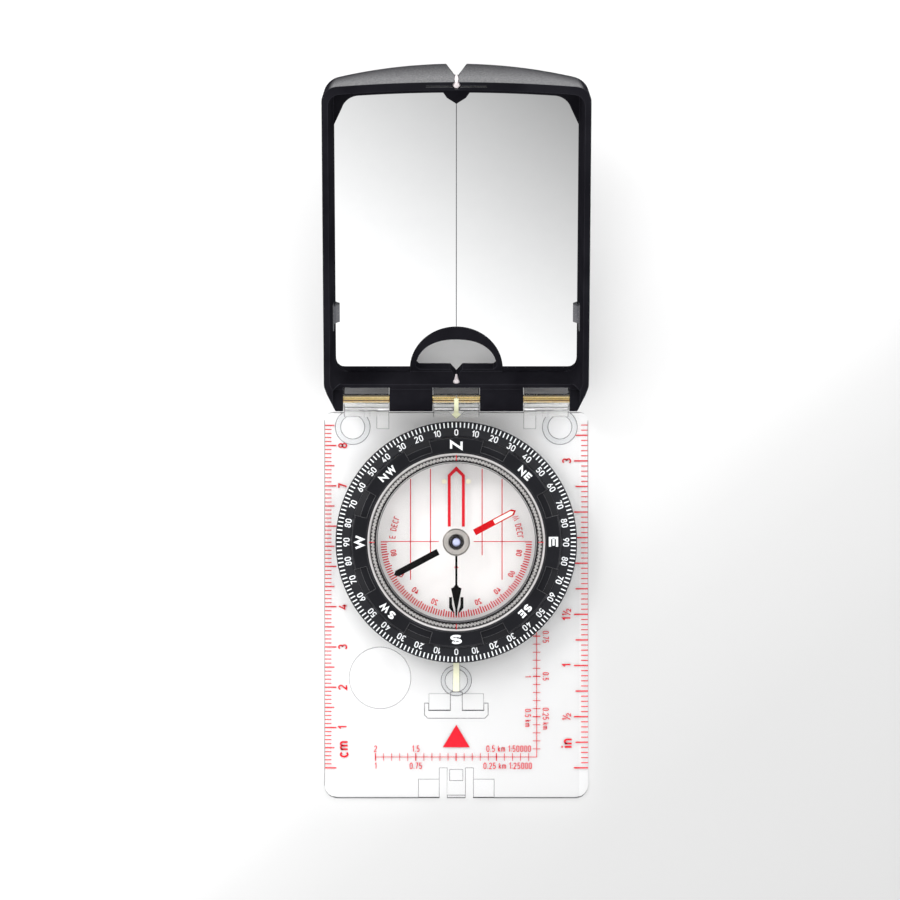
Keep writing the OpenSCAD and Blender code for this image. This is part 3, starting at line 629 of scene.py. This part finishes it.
def cup_print():
    """Orienting arrow, meridians, dots and fork on the underside of the capsule's cup."""
    cup = bottom_of("capsule_cup")
    half = 2.12                                   # of the arrow's width
    inside = half - 0.74                          # the same, less its line
    p = Print(flat(cup - 0.03))
    for s in (-1, 1):
        p.poly([(s * half, 3.8), (s * half, 16.6), (0, 18.75),
                (0, 17.6), (s * inside, 16.25), (s * inside, 3.8)])
        p.bar(s * 6.4, -3.3, s * 6.4, 18.1, 0.24)
        p.bar(s * 11.35, -9.4, s * 11.35, 15.6, 0.24)
        p.bar(s * 4.3, 0.1, s * 17.0, 0.1, 0.2)
    p.poly([(-0.62, -6.45), (0.62, -6.45), (0, -5.7)])
    p.done("print_capsule_red", "capsule", M["red"])
    p = Print(flat(cup - 0.04))
    for s in (-1, 1):
        p.poly([(s * 1.05, -13.7), (s * 1.78, -13.7), (s * 1.78, -16.4),
                (s * 0.62, -17.75), (s * 0.62, -17.1), (s * 1.05, -15.6)])
    p.done("print_capsule_black", "capsule", M["black"])
    p = Print(flat(cup - 0.035))
    for s in (-1, 1):
        p.disc(s * 3.0, 15.0, 0.62)
    p.done("print_capsule_dots", "capsule", M["dots"])


def shoulder(lift):
    """A place on the cover's bevelled shoulder, lift millimetres above it."""
    inner_r, inner_z, flatter = 20.2, 9.5, 0.2    # where the bevel starts, and the fall inside it
    outer_r, outer_z, steeper = 21.85, 8.8, 0.4242

    def place(x, y):
        r = math.hypot(x, y)
        z = inner_z + (inner_r - r) * flatter if r < inner_r else outer_z + (outer_r - r) * steeper
        return DIAL + Vector((x, y, z + lift)) * MM
    return place


def cover_print():
    """A grey toothed band printed on the shoulder, a painted picture of the lit gear teeth seen through it,
    and the four index lines over it.
    """
    p = Print(shoulder(0.03))
    p.ring(20.25, 21.55)
    p.done("print_capsule_band", "capsule", M["band"])
    p = Print(shoulder(0.05))
    p.ring(21.12, 21.4)
    teeth = 150
    for i in range(teeth):
        bearing = i * 360 / teeth
        p.ray(bearing, 20.0, 20.45, 0.46)
        p.ray(bearing + 0.6, 20.85, 21.2, 0.36)
    p.done("print_capsule_teeth", "capsule", M["tooth"])
    p = Print(shoulder(0.07))
    for i in range(4):
        p.ray(i * 90, 20.2, 21.75, 0.2)
    p.done("print_capsule_index", "capsule", M["red"])


NEEDLE_BEARING = 62             # where the needle points at rest, in degrees


def needle_print():
    """The needle's paint: red with a luminous stripe to the north, black to the south."""
    z = top_of("needle_blade") + 0.012
    s, c = around(NEEDLE_BEARING, 1)

    def along(u, v):
        return DIAL + Vector((v * s + u * c, v * c - u * s, z)) * MM
    p = Print(along)
    p.poly([(-0.8, 5.1), (0.8, 5.1), (0.8, 10.6), (-0.8, 10.6)])
    for k in (-1, 1):
        p.poly([(k * 0.8, 10.6), (k * 0.8, 15.8), (0, 16.7), (0, 16.1), (k * 0.5, 15.4), (k * 0.5, 10.6)])
    p.done("paint_needle_north", "needle", M["red_paint"])
    p = Print(along)
    p.poly([(-0.5, 10.6), (0.5, 10.6), (0.5, 15.4), (0, 16.1), (-0.5, 15.4)])
    p.done("paint_needle_lume", "needle", M["lume_paint"])
    p = Print(along)
    p.poly([(-0.8, -5.1), (0.8, -5.1), (0.8, -16.6), (0, -17.5), (-0.8, -16.6)])
    p.done("paint_needle_south", "needle", M["black"])


MIRROR_FACE = -4.47             # heights off the hinge's axis, when the lid lies flat
SLIT_FLOOR = 4.53


def mirror_line():
    p = Print(lid_plane(MIRROR_FACE))
    p.bar(0, 17.55, 0, 76.5, 0.22)
    p.done("print_mirror_line", "lid", M["grey"])


def slit_line():
    """A light grey strip on the floor of the slit in the lid's far rim: a painted highlight for the light
    line its edge shows.
    """
    p = Print(lid_plane(SLIT_FLOOR))
    for s in (-1, 1):
        p.bar(s * 1.3, 84.95, s * 7.3, 84.95, 0.26)
    p.done("painted_rim_slit_highlight", "lid", M["grey"])


plate_print()
slit_line()
bezel_print()
letters_print()
disc_print()
cup_print()
cover_print()
needle_print()
mirror_line()


# ------------------------------------------------------------------ shaped pieces

def lathe(name, profile, body, mats, n=192, centre=DIAL):
    """A turned piece about an upright axis, from a closed profile of (radius, height) in millimetres."""
    bm = bmesh.new()
    rings = []
    for i in range(n):
        a = 2 * math.pi * i / n
        ca, sa = math.cos(a), math.sin(a)
        rings.append([bm.verts.new(centre + Vector((r * ca, r * sa, z)) * MM) for r, z in profile])
    k = len(profile)
    for i in range(n):
        one, two = rings[i], rings[(i + 1) % n]
        for j in range(k):
            bm.faces.new([one[j], two[j], two[(j + 1) % k], one[(j + 1) % k]])
    bmesh.ops.recalc_face_normals(bm, faces=bm.faces)
    return keep(bm, name, body, mats)


def keep(bm, name, body, mats):
    """Makes the piece, smooth but for its creases and for the borders between its materials. The flat
    faces of a rounded part crease sooner, since all of their true edges are bevelled."""
    for f in bm.faces:
        f.smooth = True
    for e in bm.edges:
        if len(e.link_faces) == 2:
            a, b = e.link_faces
            same = a.material_index == b.material_index
            crease = math.radians(12 if same and a.material_index == 0 and len(mats) > 1 else 35)
            e.smooth = same and e.calc_face_angle(0) < crease
    me = bpy.data.meshes.new(name)
    bm.to_mesh(me)
    bm.free()
    for mat in mats:
        me.materials.append(mat)
    o = bpy.data.objects.new(name, me)
    scene.collection.objects.link(o)
    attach(o, body)
    return o


def rounded(node_name, name, body, mats, passes, repaint=None):
    """The CAD part again, with rounded edges. A pass is (width, material index, pick), and pick is asked
    about each sharp outer edge, with its middle in millimetres. repaint says a face's material at the end,
    from its middle and the face."""
    bm = bmesh.new()
    bm.from_mesh(NODES[node_name].data)
    bmesh.ops.remove_doubles(bm, verts=bm.verts, dist=2e-6)
    bmesh.ops.dissolve_limit(bm, angle_limit=math.radians(0.4), verts=bm.verts, edges=bm.edges)
    for f in bm.faces:
        f.material_index = 0
    for width, index, pick in passes:
        edges = []
        for e in bm.edges:
            if len(e.link_faces) == 2 and e.is_convex and e.calc_face_angle(0) > math.radians(35):
                if e.calc_length() > 0.0001 and all(f.material_index == 0 for f in e.link_faces):
                    if pick((e.verts[0].co + e.verts[1].co) / 2 / MM, e):
                        edges.append(e)
        bmesh.ops.bevel(bm, geom=edges, offset=width * MM, offset_type="OFFSET", segments=3,
                        profile=0.5, affect="EDGES", clamp_overlap=False, material=index)
    bmesh.ops.recalc_face_normals(bm, faces=bm.faces)
    bm.normal_update()
    for f in bm.faces:
        if repaint:
            f.material_index = repaint(f.calc_center_median() / MM, f)
    o = keep(bm, name, body, mats)
    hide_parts(node_name)
    return o


def level(e):
    return abs(e.verts[0].co.z - e.verts[1].co.z) < 1e-5


PLAIN, HIGH, LOW, DARK, KNUCKLE_SHADE = range(5)         # places in the plate's list of materials


def plate_piece():
    """The clear plate, whose rounded edges carry dark lines painted in for the reflections that clear plastic
    shows.
    """
    lo, hi = (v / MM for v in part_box("baseplate"))
    top = lo.z + 3.0                              # the plate's upper face, below the bar and the knuckles
    middle = 1.6                                  # a height between its lower and upper edges
    slot_front_y = DIAL.y / MM - 41.6             # the front wall of the raised bar's slots

    def outer(c, e):
        side = min(hi.x - c.x, c.x - lo.x) < 1.6
        ends = c.y < lo.y + 1.0 or c.y > HINGE.y / MM - 3.6
        return c.z < top + 0.2 and level(e) and (side or ends)

    def outer_high(c, e):
        return c.z > middle and outer(c, e)

    def outer_low(c, e):
        return c.z < middle and outer(c, e)

    def front_low(c, e):
        corner = c.y < lo.y + 3.4 and min(hi.x - c.x, c.x - lo.x) < 3.0
        return c.z < middle and level(e) and (corner or c.y < lo.y + 0.2)

    def bar(c, e):
        return abs(c.z - top - 1.2) < 0.02 and e.calc_length() > 0.0005

    def socket(c, e):
        inside = c.y < lo.y + 8.5 and abs(c.x) < 9.6 and 0.9 < c.z < top + 0.1
        return inside and e.calc_length() > 0.0005

    def details(c, e):
        beyond_dial = math.hypot(c.x, c.y - DIAL.y / MM) > 28.5
        return top - 0.02 < c.z < 8 and beyond_dial and e.calc_length() > 0.00018

    def repaint(c, f):
        bevelled = f.material_index != PLAIN
        slot_front = c.z > top + 0.9 and abs(c.y - slot_front_y) < 0.25
        knuckle_back = c.y > HINGE.y / MM + 0.9 and c.z > 9 and f.normal.y > 0.25
        # slot fronts take the darkest painted reflection, and the knuckles' backs a painted shade for the
        # black lid behind them
        if bevelled and slot_front and abs(f.normal.y) > abs(f.normal.x):
            return DARK
        if knuckle_back and not bevelled:
            return KNUCKLE_SHADE
        return f.material_index

    mats = [M[key] for key in ("plate", "edge_high", "edge_low", "edge_dark", "knuckle_shade")]
    passes = [(0.26, DARK, front_low), (0.24, HIGH, outer_high), (0.18, LOW, outer_low),
              (0.24, LOW, bar), (0.16, LOW, socket), (0.12, LOW, details)]
    rounded("baseplate", "plate_body", "base", mats, passes, repaint)


def feet():
    # their level edges carry a dark painted reflection line
    for name in ("foot_left", "foot_right", "foot_front"):
        rounded(name, name + "_pad", "base", [M["rubber"], M["edge_low"]],
                [(0.16, 1, lambda c, e: level(e))])


def lens_rim():
    """Grey line round the magnifier: a thin ring painted in for the outline its edge shows."""
    centre = DIAL + Vector((-18.9, -33.7, 0)) * MM
    profile = [(7.52, 3.28), (7.56, 3.36), (7.68, 3.36), (7.74, 3.28)]
    lathe("magnifier_rim", profile, "base", [M["edge_mid"]], 120, centre)


def index_arrow():
    """Pointed end of the rear luminous index, on the slope of its tongue."""
    rise = 1.5517                                 # of the tongue, upwards for each unit back
    off = Vector((0, -0.8406, 0.5417)) * 0.04     # square to the slope, clear of it by 0.04 mm

    def slope(x, y):
        return HINGE + (Vector((x, y, -1.35 + (y + 3.3) * rise)) + off) * MM
    p = Print(slope)
    p.poly([(-0.6, -3.5), (-1.15, -3.85), (0, -4.9), (1.15, -3.85), (0.6, -3.5)])
    p.done("index_arrow", "base", M["lume"])


def capsule_edge():
    """A light ring on the cover's shoulder: a painted highlight for the glint the polished shoulder catches.
    """
    profile = [(21.56, 8.95), (21.68, 9.06), (21.84, 9.09), (22.0, 9.02), (22.03, 8.86), (21.9, 8.8)]
    lathe("capsule_edge", profile, "capsule", [M["edge"]])


plate_piece()
feet()
lens_rim()
index_arrow()
capsule_edge()


# ------------------------------------------------------------------ stage

# The floor's tone, from 0 at the origin to 1 at the near right: painted shade, darker towards the near right
FLOOR_SHADE_STEPS = ((0.0, 0.89), (0.15, 0.82), (0.35, 0.64), (0.45, 0.595), (0.65, 0.55), (1.0, 0.52))
FLOOR_HALF = 6.0                # metres from its middle to its edge


def steps(nt, source, stops):
    """A grey ramp through (position, tone) stops."""
    r = nt.nodes.new("ShaderNodeValToRGB")
    els = r.color_ramp.elements
    while len(els) < len(stops):
        els.new(0.5)
    for el, (at, v) in zip(els, stops):
        el.position = at
        el.color = (v, v, v, 1)
    nt.links.new(source, r.inputs["Fac"])
    return r.outputs["Color"]


def floor_mat():
    """White with faint slow patches, and painted shade that darkens it towards the near right."""
    m, nt, out = new_mat("floor_white")
    p = nt.nodes.new("ShaderNodeBsdfPrincipled")
    co = nt.nodes.new("ShaderNodeTexCoord")
    dot = nt.nodes.new("ShaderNodeVectorMath")
    dot.operation = "DOT_PRODUCT"
    dot.inputs[1].default_value = (0.8, -1.0, 0.0)
    nt.links.new(co.outputs["Object"], dot.inputs[0])
    # painted shade: the floor's white falls off towards the near right
    fall = steps(nt, span(nt, dot.outputs["Value"], 0.0, 1.0, 0.0, 0.20), FLOOR_SHADE_STEPS)
    mix = nt.nodes.new("ShaderNodeMix")
    mix.data_type = "RGBA"
    mix.blend_type = "MULTIPLY"
    mix.inputs["Factor"].default_value = 1.0
    nt.links.new(fall, mix.inputs["A"])
    nt.links.new(ramp(nt, noise(nt, 6, 2), 0.3, 0.7, (0.99, 0.99, 0.99), (1, 1, 1)), mix.inputs["B"])
    nt.links.new(mix.outputs["Result"], p.inputs["Base Color"])
    p.inputs["Roughness"].default_value = 0.6
    p.inputs["Specular IOR Level"].default_value = 0.2
    nt.links.new(p.outputs["BSDF"], out.inputs["Surface"])
    return m


def floor():
    me = bpy.data.meshes.new("floor")
    s = FLOOR_HALF
    me.from_pydata([(-s, -s, 0), (s, -s, 0), (s, s, 0), (-s, s, 0)], [], [(0, 1, 2, 3)])
    me.materials.append(floor_mat())
    o = bpy.data.objects.new("floor", me)
    scene.collection.objects.link(o)


WORLD_FRONT = 1.72              # strength of the studio's wall in front, for a tone of 1
WORLD_SIDES = 1.15              # how much stronger the walls are from the sides on
WORLD_BACK = 1.3                # what the wall behind has on top of that
# The studio's tone by height, from 0 at the horizon to 1 straight up
WORLD_STEPS = ((0.0, 0.72), (0.3, 1.0), (0.57, 1.0), (0.635, 0.667), (0.657, 0.667), (0.698, 0.155),
               (0.715, 0.155), (0.78, 0.55), (0.955, 0.55), (0.985, 0.12), (1.0, 0.06))


def world():
    """White walls all round, brightest behind. They end in a soft edge that slopes slightly from side to
    side. A dark band, a grey one and a dark ceiling are above it."""
    w = bpy.data.worlds.new("studio")
    w.use_nodes = True
    nt = w.node_tree
    nt.nodes.clear()
    out = nt.nodes.new("ShaderNodeOutputWorld")
    bg = nt.nodes.new("ShaderNodeBackground")
    co = nt.nodes.new("ShaderNodeTexCoord")
    sep = nt.nodes.new("ShaderNodeSeparateXYZ")
    nt.links.new(co.outputs["Generated"], sep.inputs["Vector"])
    lean = span(nt, sep.outputs["X"], -0.0275, 0.0275, -0.05, 0.05)
    height = combine(nt, "ADD", sep.outputs["Z"], lean)
    front = span(nt, sep.outputs["Y"], WORLD_FRONT, WORLD_FRONT * WORLD_SIDES, -0.62, -0.2)
    gain = combine(nt, "ADD", front, span(nt, sep.outputs["Y"], 0.0, WORLD_BACK, 0.1, 0.9))
    nt.links.new(steps(nt, height, WORLD_STEPS), bg.inputs["Color"])
    nt.links.new(gain, bg.inputs["Strength"])
    nt.links.new(bg.outputs["Background"], out.inputs["Surface"])
    scene.world = w


KEY_AT = (-1.03, 0.72, 1.14)    # the square key lamp, which looks at the origin
KEY_SIZE = 0.34
KEY_POWER = 3.2


def key_lamp():
    d = bpy.data.lights.new("key", "AREA")
    d.shape = "RECTANGLE"
    d.size = KEY_SIZE
    d.size_y = KEY_SIZE
    d.energy = KEY_POWER
    o = bpy.data.objects.new("key", d)
    scene.collection.objects.link(o)
    o.location = KEY_AT
    o.rotation_mode = "QUATERNION"
    o.rotation_quaternion = (-Vector(KEY_AT)).to_track_quat("-Z", "Y")
    o.visible_camera = False


CAMERA_HEIGHT = 1.680           # it looks straight down, beside the dial's axis by these
CAMERA_RIGHT = -0.00156
CAMERA_BEYOND = 0.0228
CAMERA_LENS = 270.5


def camera():
    cam = bpy.data.cameras.new("camera")
    cam.lens = CAMERA_LENS
    cam.sensor_width = 36
    cam.clip_start = 0.05
    cam.clip_end = 50
    o = bpy.data.objects.new("camera", cam)
    scene.collection.objects.link(o)
    o.location = (DIAL.x + CAMERA_RIGHT, DIAL.y + CAMERA_BEYOND, CAMERA_HEIGHT)
    scene.camera = o


floor()
world()
key_lamp()
camera()
scene.view_settings.view_transform = "Standard"
